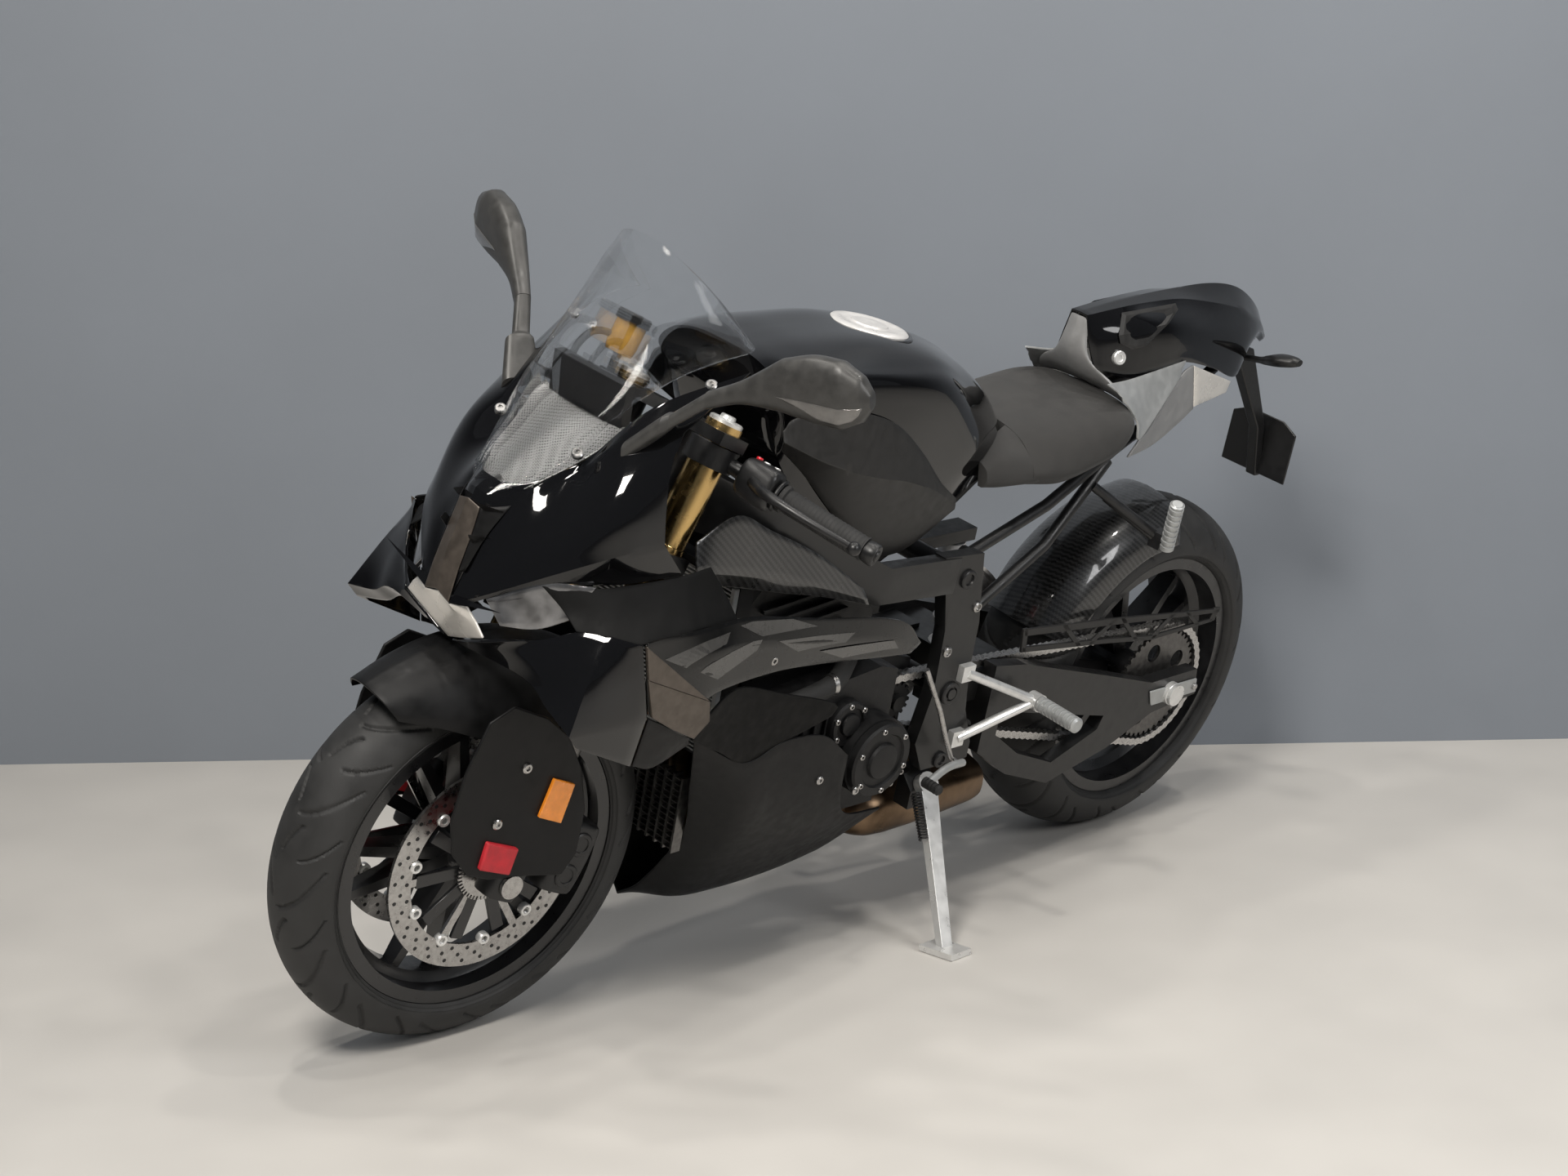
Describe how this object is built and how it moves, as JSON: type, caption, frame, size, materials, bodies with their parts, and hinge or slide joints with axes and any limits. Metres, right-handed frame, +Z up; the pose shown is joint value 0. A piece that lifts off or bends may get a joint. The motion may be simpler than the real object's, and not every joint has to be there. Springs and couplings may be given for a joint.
{
  "type": "sport bike",
  "caption": "Faired sport motorcycle with winglets, parked leaning on its side stand; wheels spin, bars steer and the stand folds.",
  "frame": {"origin": "centre of the overall box, on the floor the parked bike stands on", "axes": "-Y is the bike's forward direction, +X its left, +Z up; the bike leans 15 degrees to its left"},
  "size_m": [0.8704, 2.0866, 1.2112],
  "materials": {
    "gloss_black": "gloss",
    "satin_black": "satin",
    "dark_grey": "satin",
    "silver_paint": "satin",
    "lamp_lens": "polished",
    "clear_screen": "polished",
    "seat_cover": "suede",
    "gold_tube": "anodised",
    "bare_aluminium": "cast",
    "steel": "brushed",
    "exhaust_steel": "heat tinted",
    "tyre": "matt",
    "grip_rubber": "matt",
    "black_metal": "satin",
    "stand_paint": "satin",
    "engine_metal": "cast",
    "caliper_red": "gloss",
    "amber_fluid": "clear"
  },
  "bodies": {
    "chassis": {"chain": "steel", "engine_block": "engine_metal", "main_frame": "dark_grey", "rear_subframe": "black_metal", "swingarm": "dark_grey", "rear_axle": "steel", "rear_shock": "steel", "chain_guard": "satin_black", "rear_hugger": "satin_black", "exhaust": "exhaust_steel", "radiator": "black_metal", "nose_cowl": "gloss_black", "beak": "silver_paint", "headlights": "lamp_lens", "windshield": "clear_screen", "winglets": "gloss_black", "belly_pan": "satin_black", "side_fairings": "satin_black", "fuel_tank": "gloss_black", "tank_covers": "dark_grey", "rider_seat": "seat_cover", "tail_cowl": "gloss_black", "tail_panels": "silver_paint", "plate_holder": "satin_black", "rider_footrests": "bare_aluminium", "pillion_footrests": "bare_aluminium", "stand_bracket": "black_metal", "rear_caliper": "caliper_red", "mirrors": "dark_grey", "dash_display": "black_metal"},
    "steering": {"fork_yokes": "black_metal", "fork_legs": "gold_tube", "front_axle": "steel", "handlebars": "grip_rubber", "brake_reservoir": "amber_fluid", "front_fender": "satin_black", "front_calipers": "caliper_red"},
    "front_wheel": {"front_tyre": "tyre", "front_rim": "black_metal", "front_discs": "steel"},
    "rear_wheel": {"rear_tyre": "tyre", "rear_rim": "black_metal", "rear_disc": "steel", "rear_sprocket": "black_metal"},
    "side_stand": {"side_stand_leg": "stand_paint"}
  },
  "joints": [
    {"name": "steering", "type": "hinge", "parent": "chassis", "child": "steering", "pos_m": [-0.0401, -0.48319, 0.80076], "axis": [0.2372, 0.4003, 0.8851], "range_deg": [-20.5, 27.5]},
    {"name": "front_wheel_spin", "type": "hinge", "parent": "steering", "child": "front_wheel", "pos_m": [-0.1776, -0.74366, 0.29434], "axis": [0.9704, -0.0559, -0.2347], "continuous": true},
    {"name": "rear_wheel_spin", "type": "hinge", "parent": "chassis", "child": "rear_wheel", "pos_m": [-0.17073, 0.71329, 0.31323], "axis": [0.9659, 0, -0.2588], "continuous": true},
    {"name": "side_stand_fold", "type": "hinge", "parent": "chassis", "child": "side_stand", "pos_m": [-0.03619, 0.08829, 0.23577], "axis": [0.8711, -0.1053, 0.4796], "range_deg": [0, 96]}
  ]
}
